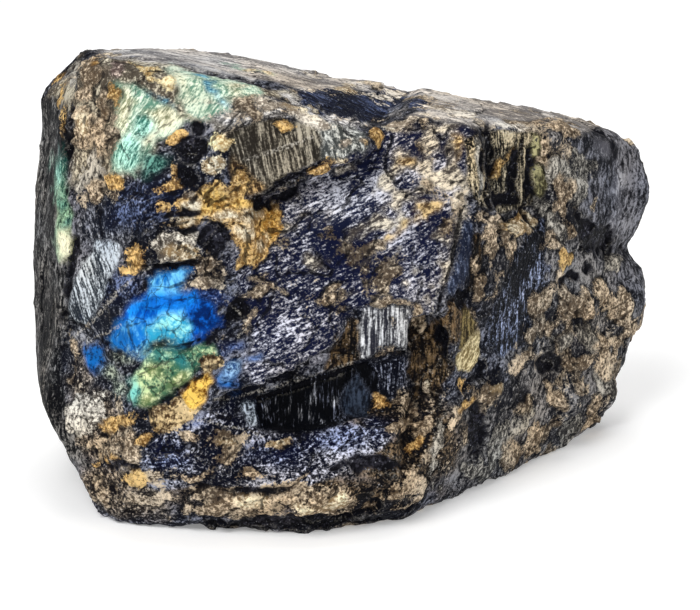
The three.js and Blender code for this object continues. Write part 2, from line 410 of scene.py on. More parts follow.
        "calm": 1, "rough": 0.25, "bend": 1, "wander": 1, "paintedGlint": 0, "speck": 0.15,
        "places": {
            "pocket's right end": [
                (345, 385), (357, 372), (374, 400), (368, 418), (345, 416), (338, 400),
            ],
        },
    },
    "striae": {
        "pale": (206, 210, 222), "dark": (4, 6, 12), "way": "upright", "stretch": 0.95, "soft": 2,
        "wander": 1, "bend": 0.5, "calm": 1, "fine": 2.2, "paintedGlint": 0, "speck": 0.1, "bias": -0.03,
        "places": {
            "pocket": [
                (290, 402, 3, 15, 0), (309, 404, 3.5, 22, 0), (314, 398, 3, 20, 0),
                (266, 408, 3, 10, 0), (276, 404, 3, 8, 0), (334, 402, 4, 5, 0), (322, 420, 3, 6, 30),
                (300, 412, 3, 8, 0),
            ],
        },
    },
    "mint": {
        "pale": (222, 238, 216), "dark": (92, 136, 116), "way": "aqua", "stretch": 0.92, "rough": 0.38,
        "bias": 0.03, "wander": 5, "bend": 3, "fine": 1.6, "speck": 0.18, "calm": 0.6, "flash": 0.4,
        "soft": 5, "paintedGlint": 0,
        "places": {
            "main facet": [
                (114, 78), (138, 82), (156, 98), (172, 106), (190, 113), (192, 122), (172, 135),
                (162, 142), (145, 158), (134, 174), (115, 172), (118, 147), (121, 134), (114, 102),
            ],
            "upper band": [
                (168, 65), (196, 70), (224, 70), (245, 74), (272, 80), (258, 95), (239, 98), (215, 103),
                (200, 100), (178, 102), (170, 84),
            ],
            "under the band": [(182, 100), (215, 101), (232, 108), (208, 119), (188, 114)],
        },
    },
    "leftMint": {
        "pale": (164, 202, 168), "dark": (28, 52, 42), "way": "upright", "stretch": 0.8, "rough": 0.4,
        "bias": -0.005, "wander": 3, "bend": 2, "calm": 0.7, "flash": 0.3, "soft": 4, "paintedGlint": 0,
        "places": {
            "left face": [
                (56, 156), (66, 166), (67, 203), (73, 214), (71, 232), (66, 255), (56, 262), (53, 236),
                (56, 214), (54, 182),
            ],
        },
    },
    "mintYellow": {
        "pale": (244, 240, 208), "dark": (124, 128, 96), "way": "aqua", "stretch": 0.92, "soft": 6,
        "calm": 0.5, "flash": 0.4, "fine": 1.6, "paintedGlint": 0, "bias": 0.03, "speck": 0.18,
        "places": {
            "main facet": [
                (124, 106, 7, 24, 0), (164, 118, 20, 11, 28), (180, 116, 11, 7, 0),
                (150, 140, 10, 6, 40),
            ],
            "upper band": [(180, 84, 5, 12, 20), (234, 88, 7, 8, 0)],
            "left face": [(66, 244, 6, 14, 0)],
        },
    },
    "aquaBright": {
        "pale": (188, 240, 222), "dark": (40, 100, 88), "way": "aqua", "stretch": 0.85, "soft": 7,
        "bias": 0.03, "calm": 0.5, "flash": 0.4, "fine": 1.3, "paintedGlint": 0, "speck": 0.22,
        "places": {
            "main facet": [(130, 156, 13, 14, 0), (142, 130, 12, 10, 30)],
            "left face": [(60, 174, 4, 12, 0)],
        },
    },
    "teal": {
        "pale": (108, 164, 150), "dark": (18, 52, 50), "way": "aqua", "stretch": 0.6, "soft": 5,
        "calm": 0.4, "flash": 0.3, "paintedGlint": 0,
        "places": {
            "main facet": [(156, 166, 16, 10, 20)],
            "left face": [(61, 204, 4, 9, 0), (66, 222, 5, 5, -30)],
        },
    },
    "turquoise": {
        "pale": (150, 210, 222), "dark": (44, 96, 126), "way": "level", "stretch": 0.8, "soft": 3,
        "flash": 0.3, "paintedGlint": 0, "bias": 0.01,
        "places": {
            "seam": [(163, 98, 20, 3, -25)],
            "upper band": [(212, 89, 13, 5, -40), (206, 78, 8, 4, -20)],
        },
    },
    "blue": {
        "pale": (26, 148, 244), "dark": (1, 74, 170), "stretch": 0.5, "way": "upright", "soft": 6,
        "fine": 0.5, "speck": 0.08, "rough": 0.32, "calm": 0.85, "flash": 1, "bias": 0.035, "wander": 5,
        "bend": 5, "paintedGlint": 0,
        "places": {
            "main flash": [
                (122, 316), (136, 298), (154, 288), (180, 290), (206, 295), (223, 311), (224, 328),
                (213, 337), (193, 341), (170, 347), (141, 357), (126, 352), (112, 340),
            ],
        },
    },
    "deepBlue": {
        "pale": (14, 98, 196), "dark": (2, 32, 84), "soft": 6, "rough": 0.32, "calm": 0.8, "flash": 1,
        "bias": 0.02, "wander": 6, "paintedGlint": 0, "fine": 0.5, "speck": 0.08,
        "places": {
            "main flash": [(207, 318, 18, 17, 0), (172, 301, 20, 4, 8)],
        },
    },
    "sideBlue": {
        "pale": (15, 100, 178), "dark": (2, 22, 50), "soft": 6, "rough": 0.36, "calm": 0.5,
        "flash": 0.8, "bias": 0.01, "wander": 7, "paintedGlint": 0, "fine": 0.7, "speck": 0.15,
        "places": {
            "left of it": [(99, 358, 14, 18, 0), (110, 346, 20, 7, 30), (108, 368, 10, 7, 0)],
            "right of it": [(230, 372, 20, 8, 35), (222, 381, 9, 5, 0), (250, 360, 14, 5, 10)],
        },
    },
    "dimBlue": {
        "pale": (70, 96, 150), "dark": (14, 26, 62), "soft": 5, "flash": 0.5,
        "places": {
            "right of the flash": [(232, 349, 18, 7, 5), (216, 297, 12, 8, -20), (196, 421, 12, 4, 20)],
        },
    },
    "sky": {
        "pale": (112, 198, 244), "dark": (18, 108, 188), "stretch": 0.5, "way": "upright", "soft": 5,
        "rough": 0.32, "wander": 3, "bend": 3, "calm": 0.85, "flash": 1, "paintedGlint": 0, "bias": 0.03,
        "fine": 0.5, "speck": 0.08,
        "places": {
            "flash's top": [
                (148, 279), (167, 273), (180, 267), (191, 272), (181, 283), (178, 291), (167, 293),
                (150, 292),
            ],
            "flash's left": [(116, 318), (146, 322), (150, 360), (126, 357), (108, 340)],
        },
    },
    "haze": {
        "pale": (164, 200, 228), "dark": (32, 70, 120), "soft": 5, "flash": 0.6, "paintedGlint": 0,
        "bias": 0.02,
        "places": {"right of the flash": [(233, 369, 12, 6, 30)]},
    },
    "cyan": {
        "pale": (168, 242, 232), "dark": (48, 164, 200), "soft": 6, "fine": 0.5, "speck": 0.08,
        "rough": 0.32, "calm": 0.85, "bend": 3, "wander": 3, "flash": 1, "bias": 0.03, "paintedGlint": 0,
        "places": {
            "flash's core": [
                (145, 330), (159, 317), (180, 315), (190, 330), (184, 345), (160, 352), (142, 355),
                (148, 340),
            ],
        },
    },
    "greyGreen": {
        "pale": (190, 200, 180), "dark": (40, 48, 46), "soft": 5, "flash": 0.4, "paintedGlint": 0,
        "places": {
            "below the flash": [(124, 356, 13, 8, 0), (112, 372, 12, 9, 0), (120, 390, 9, 10, 0)],
            "flash's core": [(160, 347, 14, 4, 16)],
        },
    },
    "leaf": {
        "pale": (206, 228, 170), "dark": (58, 104, 80), "soft": 4, "rough": 0.34, "calm": 0.8,
        "bend": 4, "wander": 4, "flash": 1, "bias": 0.03, "paintedGlint": 0, "fine": 0.6, "speck": 0.12,
        "places": {
            "green lobe": [
                (126, 384), (132, 368), (145, 360), (162, 353), (180, 349), (200, 343), (211, 346),
                (213, 356), (206, 366), (199, 374), (180, 387), (165, 397), (154, 408), (143, 407),
                (130, 397),
            ],
        },
    },
    "leafTeal": {
        "pale": (140, 222, 208), "dark": (42, 116, 116), "soft": 5, "calm": 0.8, "flash": 1, "paintedGlint": 0,
        "bias": 0.02, "fine": 0.6, "speck": 0.12,
        "places": {
            "green lobe": [(186, 361, 13, 6, -28), (133, 388, 6, 13, 10), (160, 362, 10, 5, 20)],
        },
    },
    "leafBright": {
        "pale": (236, 236, 182), "dark": (112, 130, 80), "soft": 5, "calm": 0.8, "flash": 1, "paintedGlint": 0,
        "bias": 0.03, "fine": 0.6, "speck": 0.12,
        "places": {"green lobe": [(154, 372, 12, 8, 20), (176, 383, 14, 6, 28), (150, 398, 10, 7, 30)]},
    },
    "gold": {
        "pale": (248, 200, 96), "dark": (108, 64, 12), "soft": 2.5, "rough": 0.36, "calm": 0.4,
        "bend": 3, "wander": 4, "bias": -0.005, "flash": 0.6, "raise": 0.15, "paintedGlint": 0, "fine": 0.7,
        "speck": 0.2,
        "places": {
            "gold lobe": [
                (178, 393), (196, 378), (211, 369), (217, 383), (208, 398), (198, 411), (186, 415),
                (178, 404),
            ],
        },
    },
    "tan": {
        "pale": (228, 200, 150), "dark": (70, 50, 30), "soft": 2.5, "bend": 3, "crumble": 0.4,
        "paintedGlint": 0, "layer": "lumps",
        "places": {
            "below the gold": [
                (148, 410), (178, 399), (186, 414), (200, 408), (194, 419), (172, 431), (160, 435),
                (150, 422),
            ],
            "right of the lobe": [
                (196, 362), (206, 356), (222, 360), (223, 370), (210, 376), (200, 373),
            ],
        },
    },
    "lumpGrey": {
        "pale": (202, 196, 184), "dark": (52, 50, 49), "raise": 0.25, "rough": 0.65, "crumble": 0.6,
        "shadedRim": 0.45, "way": "upright", "stretch": 0.5, "soft": 1.8, "paintedGlint": 0, "wander": 5,
        "layer": "lumps",
        "places": {
            "left lumps": [(92, 172, 11, 26, -12), (78, 70, 8, 16, -30)],
            "right end": [
                (582, 162, 15, 10, -20), (559, 227, 8, 13, 12), (572, 188, 12, 14, -10),
                (541, 206, 10, 8, 0), (560, 342, 9, 9, 20), (588, 338, 9, 9, 0), (612, 262, 8, 14, 0),
                (605, 385, 9, 16, 20), (570, 425, 8, 18, -30), (500, 442, 10, 16, -30),
                (558, 170, 12, 14, 0),
            ],
            "lower right": [(438, 444, 4, 28, -6), (480, 470, 16, 10, 15), (520, 425, 9, 14, -30)],
        },
    },
    "browLump": {
        "pale": (244, 237, 223), "dark": (74, 68, 62), "raise": 0.25, "rough": 0.65, "crumble": 0.6,
        "shadedRim": 0.4, "soft": 2, "paintedGlint": 0, "wander": 5, "layer": "lumps",
        "places": {
            "brow": [(150, 240), (163, 232), (185, 229), (193, 236), (193, 260), (159, 266)],
            "left foot": [(86, 414, 18, 20, 0)],
            "below the flash": [(106, 396, 10, 8, 20)],
        },
    },
    "topBeige": {
        "pale": (238, 228, 212), "dark": (122, 112, 100), "rough": 0.65, "soft": 2, "paintedGlint": 0,
        "wander": 5, "way": "level", "stretch": 0.5, "layer": "lumps", "calm": 0.5,
        "places": {
            "top": [
                (318, 74, 12, 3, -10), (334, 87, 20, 4, -6), (384, 97, 18, 4, -6),
                (447, 106, 16, 5, 10), (403, 124, 30, 4, 18), (475, 112, 20, 3, 0),
                (512, 126, 22, 4, 0), (270, 105, 26, 7, -12), (250, 96, 16, 4, -20),
                (300, 116, 16, 4, -16), (230, 112, 14, 4, 10), (520, 112, 16, 4, -10),
            ],
        },
    },
    "paleStreak": {
        "pale": (172, 172, 178), "dark": (80, 80, 88), "soft": 5, "calm": 0.7, "paintedGlint": 0,
        "speck": 0.12, "way": "upright", "stretch": 0.6, "fine": 0.8,
        "places": {"right end": [(620, 187, 3, 24, 0), (613, 228, 3, 16, 4), (602, 147, 9, 11, 0)]},
    },
    "plum": {
        "pale": (224, 203, 188), "dark": (78, 64, 60), "raise": 0.2, "soft": 2, "paintedGlint": 0,
        "layer": "lumps",
        "places": {"top left": [(119, 70, 13, 8, -10)]},
    },
    "beige": {
        "pale": (230, 209, 180), "dark": (90, 76, 61), "raise": 0.25, "rough": 0.68, "crumble": 0.6,
        "soft": 1.5, "shadedRim": 0.5, "paintedGlint": 0, "wander": 5, "layer": "lumps",
        "places": {
            "left lumps": [
                (83, 127, 14, 23, 0), (90, 70, 12, 14, 0), (82, 92, 9, 10, 0), (101, 130, 7, 24, 6),
                (104, 104, 7, 14, 0), (96, 190, 8, 12, -20),
            ],
            "left foot": [
                (133, 457, 10, 14, -30), (102, 490, 10, 12, 0), (146, 498, 20, 5, 0),
                (120, 440, 14, 5, 20), (160, 478, 12, 5, 0), (74, 372, 4, 18, 0), (96, 440, 10, 8, 0),
            ],
            "below the brow": [(139, 268, 6, 4, 0), (206, 266, 9, 6, 0), (198, 283, 14, 5, 5)],
            "right of the flash": [
                (230, 335, 17, 4, 22), (250, 318, 3, 9, -35), (292, 292, 34, 2, -18),
                (330, 300, 10, 6, 20), (337, 286, 12, 4, 20), (258, 290, 9, 3, 20),
            ],
            "lens": [
                (190, 434, 9, 6, 0), (214, 437, 14, 4, -15), (232, 447, 12, 3, -32),
                (269, 446, 21, 3, 14), (196, 478, 10, 4, 20), (250, 476, 16, 4, 10),
                (222, 430, 8, 4, 0),
            ],
            "bottom row": [
                (205, 507, 26, 3, 8), (238, 495, 12, 6, 10), (262, 501, 14, 6, 0), (285, 500, 12, 6, 0),
                (318, 500, 12, 6, 0), (345, 500, 13, 5, 0), (372, 497, 12, 5, 0), (395, 494, 12, 6, 10),
                (414, 482, 11, 15, -8), (330, 514, 30, 2, 3), (384, 508, 16, 2, 5),
            ],
            "comb": [
                (420, 321, 5, 13, 0), (374, 303, 12, 3, 10), (384, 357, 14, 3, 5),
                (404, 304, 8, 3, -10),
            ],
            "right of the slab": [
                (490, 237, 7, 14, 10), (505, 233, 6, 10, -10), (509, 252, 5, 12, -30),
                (494, 292, 4, 14, -12), (478, 300, 3, 16, 5), (499, 270, 4, 10, -20),
                (482, 216, 5, 6, 0), (496, 222, 7, 6, 0),
            ],
            "right end": [
                (557, 127, 14, 6, -15), (538, 122, 10, 5, 0), (565, 210, 6, 10, 0), (576, 231, 5, 6, 0),
                (620, 308, 15, 18, 0), (604, 361, 8, 12, 0), (606, 340, 11, 7, 0), (630, 330, 7, 10, 0),
                (548, 327, 14, 7, 25), (533, 333, 5, 18, -40), (524, 355, 4, 16, -40),
                (553, 400, 8, 20, -4), (582, 391, 7, 6, 0), (535, 438, 6, 16, -15),
                (513, 452, 7, 13, -25), (590, 415, 7, 14, -30), (575, 362, 9, 6, 0),
                (600, 290, 9, 12, 0), (560, 280, 6, 10, 0), (566, 188, 8, 9, 0), (550, 245, 7, 9, 0),
                (546, 150, 6, 12, 0), (542, 305, 8, 20, -28), (566, 300, 8, 18, -12),
                (584, 302, 10, 13, 0), (581, 361, 9, 5, 0),
            ],
            "lower right": [
                (487, 394, 19, 11, 35), (429, 390, 6, 15, 8), (424, 430, 16, 8, 35),
                (448, 388, 3, 10, 0), (452, 420, 4, 12, -10), (400, 424, 10, 5, 30),
            ],
        },
    },
    "ochrePale": {
        "pale": (255, 240, 194), "dark": (174, 142, 90), "raise": 0.15, "rough": 0.62, "crumble": 0.5,
        "soft": 3, "paintedGlint": 0, "wander": 5, "bias": 0.02, "layer": "lumps",
        "places": {
            "top left": [(131, 63), (172, 80), (179, 94), (170, 95), (150, 83), (133, 77)],
            "by the black": [(222, 142, 9, 12, 0)],
        },
    },
    "ochre": {
        "pale": (236, 197, 130), "dark": (112, 81, 42), "raise": 0.25, "rough": 0.62, "crumble": 0.5,
        "soft": 1.5, "shadedRim": 0.45, "paintedGlint": 0, "wander": 5, "bias": 0.01, "layer": "lumps",
        "places": {
            "left lumps": [
                (112, 92, 4, 13, -8), (114, 184, 8, 7, 0), (94, 57, 4, 6, 0), (62, 98, 3, 16, 0),
            ],
            "by the black": [(177, 136, 13, 8, 38), (173, 173, 4, 9, 0)],
            "ledge": [
                (283, 127, 9, 7, 0), (316, 171, 12, 4, 20), (375, 140, 9, 12, 20),
                (240, 188, 14, 12, 50),
            ],
            "crust": [
                (192, 196), (194, 186), (204, 180), (219, 177), (228, 195), (248, 203), (274, 203),
                (279, 214), (278, 242), (271, 260), (250, 268), (239, 273), (237, 247), (226, 229),
                (211, 221), (200, 214),
            ],
            "crust's arm": [
                (184, 202, 13, 8, 20), (174, 189, 12, 6, 15), (182, 223, 20, 5, 12),
                (168, 206, 8, 5, 30),
            ],
            "left of the brow": [(137, 258, 9, 14, -10), (130, 272, 8, 4, 20)],
            "lower left": [
                (122, 424, 22, 7, 25), (149, 438, 6, 10, -35), (110, 460, 14, 5, 0),
                (138, 480, 10, 6, 0),
            ],
            "columns": [(500, 168, 3, 12, -25), (520, 223, 12, 7, 25)],
            "right end": [(565, 259, 7, 8, 0)],
            "lower right": [
                (461, 384, 7, 13, 0), (420, 438, 10, 5, 30), (379, 403, 8, 10, 0), (470, 404, 9, 4, 20),
            ],
        },
    },
    "ochreBright": {
        "pale": (248, 205, 118), "dark": (142, 100, 42), "rough": 0.6, "soft": 4, "crumble": 0.5,
        "paintedGlint": 0, "bias": 0.02, "layer": "lumps",
        "places": {"crust": [(212, 200, 12, 16, 0), (268, 226, 10, 14, 0), (246, 206, 12, 5, 0)]},
    },
    "cream": {
        "pale": (248, 236, 208), "dark": (142, 120, 88), "raise": 0.2, "rough": 0.62, "soft": 3,
        "crumble": 0.5, "paintedGlint": 0, "bias": 0.01, "layer": "lumps",
        "places": {
            "by the black": [(214, 165, 12, 11, 0)],
            "crust": [
                (229, 219, 16, 6, -12), (262, 246, 8, 10, 0), (196, 204, 12, 7, 35),
                (240, 232, 10, 7, -30), (250, 214, 9, 5, 0), (178, 222, 10, 4, 15),
            ],
            "brow": [(184, 256, 12, 6, 5), (176, 250, 12, 6, 0)],
            "ledge end": [(346, 162, 5, 4, 0)],
            "top": [(256, 80, 11, 4, -8), (300, 108, 10, 3, -10), (345, 90, 10, 3, 0)],
            "columns": [(528, 222, 5, 9, 10), (515, 226, 5, 5, 0)],
            "lens": [(226, 441, 8, 3, -25), (270, 445, 12, 2, 14)],
            "bottom row": [(300, 506, 10, 4, 0), (251, 499, 9, 4, 0), (340, 499, 8, 3, 0)],
            "lower right": [(496, 386, 8, 7, 35), (432, 384, 4, 8, 0)],
            "left lumps": [(84, 120, 7, 10, 0)],
        },
    },
    # Near-black, slightly sunk patches: dark pits, and painted shade in hollows and under the ledge, the
    # brow and the bottom edge
    "blackPitsAndShade": {
        "pale": (50, 50, 60), "dark": (5, 5, 8), "raise": -0.6, "rough": 0.4, "soft": 2, "bias": -0.03,
        "layer": "lumps",
        "places": {
            "by the ochre": [(196, 130, 9, 9, 0), (191, 150, 17, 14, 10), (190, 176, 14, 10, 0)],
            "crust's island": [(215, 238, 19, 17, 0)],
            "crust's gap": [(178, 215, 20, 3, 14), (176, 229, 20, 3, 12)],
            "under the brow": [(172, 267, 20, 3, 4)],
            "under the ledge": [(288, 186, 26, 7, 20), (262, 202, 10, 6, 0)],
            "right of the flash": [(237, 311, 11, 12, -30)],
            "columns": [
                (487, 165, 4, 34, 0), (528, 178, 4, 28, -4), (500, 200, 24, 8, 0), (512, 178, 5, 20, 0),
            ],
            "right end": [
                (590, 236, 12, 17, 20), (548, 362, 13, 11, 0), (575, 276, 18, 4, 20),
                (608, 240, 8, 12, 0),
            ],
            "lower right": [
                (475, 424, 8, 26, -12), (462, 300, 6, 10, 0), (440, 345, 6, 20, 20),
                (520, 400, 7, 12, -30),
            ],
            "bottom edge": [(300, 524, 200, 6, 3)],
            "left edge": [(72, 252, 3, 32, -10), (68, 130, 2, 24, 0)],
            "beside the lens": [(120, 465, 16, 5, 0), (250, 488, 30, 3, 0), (370, 466, 26, 8, 0)],
        },
    },
}

# Dark cracks that can be followed by eye, and dark lines of painted shadow under the brow and the
# ledge, at the pocket's lip and along the slab's edge, each by the pixels along it
cracksAndShadowLines = {
    "through the flash": [(143, 355), (158, 348), (176, 347), (197, 340)],
    "above the gold": [(152, 408), (166, 398), (182, 388), (203, 377)],
    "under the brow": [(155, 267), (176, 267), (199, 264)],
    "crust's lower edge": [(172, 226), (193, 219), (210, 220), (222, 226)],
    "crust's middle": [(192, 204), (197, 198), (202, 186), (204, 176)],
    "pocket's lip": [(258, 398), (300, 386), (352, 366)],
    "under the ledge": [(262, 198), (295, 179), (321, 164)],
    "slab's edge": [(464, 206), (452, 262), (438, 318)],
}
# and finer ones, no more than dark hairs
hairs = {
    "aqua seam": [(134, 84), (148, 92), (168, 103), (187, 111)],
    "blue top": [(138, 302), (156, 297), (172, 301), (196, 298)],
    "blue lower": [(126, 328), (150, 321), (168, 316), (186, 318)],
    "blue upright": [(181, 318), (184, 330), (182, 343)],
    "blue left": [(128, 322), (130, 336), (136, 350)],
    "sky": [(152, 286), (168, 288), (182, 282)],
    "green": [(160, 360), (172, 372), (178, 386)],
    "green right": [(184, 352), (192, 362), (196, 374)],
    "green middle": [(138, 374), (156, 368), (172, 360)],
    "green left": [(146, 388), (158, 386), (166, 396)],
    "blue far": [(196, 300), (200, 318), (198, 336)],
    "blue middle": [(156, 298), (154, 310), (158, 320)],
}

# Thin pale edges and veins
veins = {
    "pocket's lip": [(214, 401), (250, 393), (300, 380), (350, 362)],
    "slab's edge": [(462, 222), (450, 262), (430, 318)],
    "across the ledge": [(246, 160), (268, 152), (290, 146), (312, 136)],
    "left of the flash": [(72, 338), (92, 322), (112, 300), (130, 282), (150, 268)],
    "under that": [(74, 352), (90, 340), (110, 331), (122, 324)],
    "right of the flash": [(226, 300), (240, 312), (250, 326), (238, 338)],
    "over the lens": [(168, 430), (196, 420), (230, 424), (262, 436)],
    "top's edge": [(104, 54), (140, 60), (172, 66), (210, 69), (245, 75)],
}

# How much loose crust lies on the rest, by spots with a share of 0 to 1
crustCover = {
    "right end": [(565, 180, 40, 60, 0, 0.2), (580, 350, 70, 70, 10, 0.28), (520, 430, 70, 60, 20, 0.24)],
    "left": [(95, 130, 40, 100, 0, 0.2), (100, 440, 50, 70, 0, 0.3), (90, 350, 25, 60, 0, 0.16)],
    "middle": [(220, 230, 80, 70, 0, 0.22), (240, 120, 60, 40, -15, 0.3)],
    "slab": [(440, 180, 50, 70, 0, 0.2), (340, 270, 90, 60, 20, 0.05)],
    "bottom": [(260, 500, 170, 22, 0, 0.3), (410, 440, 60, 60, 0, 0.24), (230, 460, 110, 36, 0, 0.08)],
    "top": [(380, 100, 110, 30, -5, 0.16), (520, 120, 80, 16, -8, 0.16)],
}


def lineDistance(pixels, line):
    nearest = np.full(len(pixels), 1e3)
    for a, b in zip(np.array(line[:-1], float), np.array(line[1:], float)):
        run = b - a
        share = np.clip((pixels - a) @ run / (run @ run), 0, 1)
        nearest = np.minimum(nearest, np.linalg.norm(pixels - a - share[:, None] * run, axis=1))
    return nearest


def outlineField(pixels, outline):
    x, y = pixels.T
    inside = np.zeros(len(pixels), bool)
    for (ax, ay), (bx, by) in zip(outline, outline[1:] + outline[:1]):
        spans = (ay > y) != (by > y)
        inside ^= spans & (x < ax + (y - ay) * (bx - ax) / ((by - ay) or 1))
    return np.where(inside, 1, -1) * lineDistance(pixels, outline + outline[:1])


def spotField(pixels, across, down, halfLength, halfWidth, turn):
    angle = math.radians(turn)
    right = pixels[:, 0] - across
    rise = down - pixels[:, 1]
    along = (right * math.cos(angle) + rise * math.sin(angle)) / halfLength
    side = (rise * math.cos(angle) - right * math.sin(angle)) / halfWidth
    return (1 - np.hypot(along, side)) * min(halfLength, halfWidth)


def placeField(pixels, places):
    field = np.full(len(pixels), nowhere)
    for shapes in places.values():
        if len(shapes[0]) == 2:
            field = np.maximum(field, outlineField(pixels, shapes))
        else:
            for spot in shapes:
                field = np.maximum(field, spotField(pixels, *spot))
    return field


# Repeatable roughness
def cornerValue(cell, seed):
    mixed = cell[:, 0] * 374761393 + cell[:, 1] * 668265263 + cell[:, 2] * 1103515245 + seed * 974634653
    mixed = (mixed ^ (mixed >> 13)) * 1274126177
    mixed = mixed ^ (mixed >> 16)
    return (mixed & 0xFFFF) / 32767.5 - 1


def waves(points, length, seed):
    place = points / length
    cell = np.floor(place).astype(np.int64)
    part = place - cell
    part = part * part * (3 - 2 * part)
    total = np.zeros(len(points))
    for corner in np.ndindex(2, 2, 2):
        step = np.array(corner)
        weight = np.prod(np.where(step, part, 1 - part), axis=1)
        total += weight * cornerValue(cell + step, seed)
    return total


# A turn between octaves, so that their cells never line up
turned = np.array(((0.36, 0.48, -0.8), (-0.8, 0.6, 0), (0.48, 0.64, 0.6)))


def fractal(points, length, octaves, seed):
    total = np.zeros(len(points))
    for octave in range(octaves):
        points = points @ turned
        total += waves(points, length / 2 ** octave, seed + octave) / 2 ** octave
    return total


def lumpCells(points, size, seed):
    # nearest lump's offset and number, and how far its edge is
    place = points / size
    cell = np.floor(place).astype(np.int64)
    nearest = np.full(len(points), 9.0)
    second = np.full(len(points), 9.0)
    offset = np.zeros_like(points)
    owner = np.zeros_like(cell)
    for step in np.ndindex(3, 3, 3):
        around = cell + np.array(step) - 1
        jitter = np.stack([cornerValue(around, seed + axis) for axis in range(3)], 1)
        away = place - (around + 0.5 + 0.45 * jitter)
        far = np.linalg.norm(away, axis=1)
        closer = far < nearest
        second = np.where(closer, nearest, np.minimum(second, far))
        nearest = np.where(closer, far, nearest)
        offset[closer] = away[closer]
        owner[closer] = around[closer]
    return offset * size, owner, second - nearest


def gently(value, low, high):
    share = np.clip((value - low) / (high - low), 0, 1)
    return share * share * (3 - 2 * share)


# Small corrections to the stone's outline: pixel, reach in pixels and push in mm
pushes = {
    "right waist": {"at": (645, 244), "reach": (45, 20), "push": (-1.5, 0, 0)},
    "right shoulder": {"at": (612, 138), "reach": (34, 32), "push": (0.9, 0, 1.5)},
    "right side": {"at": (642, 188), "reach": (40, 36), "push": (0.8, 0, 0)},
    "right foot": {"at": (600, 400), "reach": (50, 60), "push": (1.2, -0.8, -0.6)},
    "left side": {"at": (36, 210), "reach": (40, 130), "push": (-0.8, 0, 0)},
    "left foot": {"at": (52, 430), "reach": (42, 75), "push": (-1.9, 0, 0)},
    "left shoulder": {"at": (50, 76), "reach": (26, 26), "push": (-1.2, 0, 0.3)},
    "back of the top": {"at": (338, 70), "reach": (62, 16), "push": (0, 0, -0.9)},
    "left of the top": {"at": (186, 44), "reach": (22, 12), "push": (0, 0, -0.6)},
}

# The stone's skin, in mm. The rounds are of smoothing, and frontFrom is how well seen a place
# must be for the finer mesh.
skin = {
    "voxel": 0.86,
    "frontFrom": 0.12,
    "evening": 2,
    "seenRounds": 4,
    "settleRounds": 14,
    "outwardRounds": 6,
    "hollowRounds": 4,
    "deepRounds": 40,
    "blockSize": 6.5,
    "blockWander": 1.2,
    "blockTilt": 0.1,
    "blockStep": 0.14,
    "lumpSize": 2.4,
    "lumpWander": 0.5,
    "lumpHeight": 0.24,
    "grit": 0.14,
    "crackDepth": 0.5,
    "crackWidth": 2.4,   # pixels
    "rimDepth": 0.25,
}


def evenMesh(node, voxel):
    draft = bpy.data.objects.new("draft", node.data.copy())
    scene.collection.objects.link(draft)
    remesh = draft.modifiers.new("even", "REMESH")
    remesh.mode = "VOXEL"
    remesh.voxel_size = voxel / millimetres
    graph = bpy.context.evaluated_depsgraph_get()
    mesh = bpy.data.meshes.new_from_object(draft.evaluated_get(graph))
    bpy.data.objects.remove(draft)
    return mesh


def finerFront(mesh, seen):
    form = bmesh.new()
    form.from_mesh(mesh)
    front = [edge for edge in form.edges if min(seen[v.index] for v in edge.verts) > skin["frontFrom"]]
    bmesh.ops.subdivide_edges(form, edges=front, cuts=1, use_grid_fill=True)
    form.to_mesh(mesh)
    form.free()


def readPoints(mesh):
    flat = np.empty(len(mesh.vertices) * 3)
    mesh.vertices.foreach_get("co", flat)
    return flat.reshape(-1, 3) * millimetres


def writePoints(mesh, points):
    mesh.vertices.foreach_set("co", (points / millimetres).ravel())
    mesh.update()


def readNormals(mesh):
    flat = np.empty(len(mesh.vertices) * 3)
    mesh.vertex_normals.foreach_get("vector", flat)
    return flat.reshape(-1, 3)


def readEdges(mesh):
    flat = np.empty(len(mesh.edges) * 2, np.int32)
    mesh.edges.foreach_get("vertices", flat)
    return flat.reshape(-1, 2)


def spread(values, edges, rounds):
    a, b = edges.T
    count = np.bincount(edges.ravel(), minlength=len(values))
    columns = values.reshape(len(values), -1)
    for _ in range(rounds):
        columns = np.stack([
            (np.bincount(a, column[b], len(column)) + np.bincount(b, column[a], len(column))) / count
            for column in columns.T
        ], 1) * 0.5 + columns * 0.5
    return columns.reshape(values.shape)


def seenFromPhoto(mesh, points, normals):
    faces = [tuple(face.vertices) for face in mesh.polygons]
    tree = BVHTree.FromPolygons([Vector(p) for p in points], faces)
    towards = eye - points
    towards /= np.linalg.norm(towards, axis=1)[:, None]
    facing = np.sum(normals * towards, axis=1)
    seen = np.zeros(len(points))
    grazing, turnedEnough, clear = 0.02, 0.2, 0.5   # clear is mm off the skin
    for i in np.flatnonzero(facing > grazing):
        start = Vector(points[i] + normals[i] * clear)
        seen[i] = tree.ray_cast(start, Vector(towards[i]))[0] is None
    return seen * gently(facing, grazing, turnedEnough)


mesh = evenMesh(frame["nodes"]["stone"], skin["voxel"])
points = spread(readPoints(mesh), readEdges(mesh), 1)
writePoints(mesh, points)
finerFront(mesh, seenFromPhoto(mesh, points, readNormals(mesh)))
edges = readEdges(mesh)
points = spread(readPoints(mesh), edges, skin["evening"])
before = toPixels(points)
for push in pushes.values():
    away = (before - push["at"]) / push["reach"]
    points = points + np.exp(-np.sum(away * away, axis=1))[:, None] * np.array(push["push"])
points[:, 2] = np.maximum(points[:, 2], 0)
writePoints(mesh, points)
normals = readNormals(mesh)
seen = spread(seenFromPhoto(mesh, points, normals), edges, skin["seenRounds"])
pixels = toPixels(points)
print("skin evened:", len(points), "points, seen share", round(float(seen.mean()), 2))


# Painting: each finish over the last
def fromBytes(colour):
    return np.array([c / 255 / 12.92 if c <= 10 else ((c / 255 + 0.055) / 1.055) ** 2.4 for c in colour])


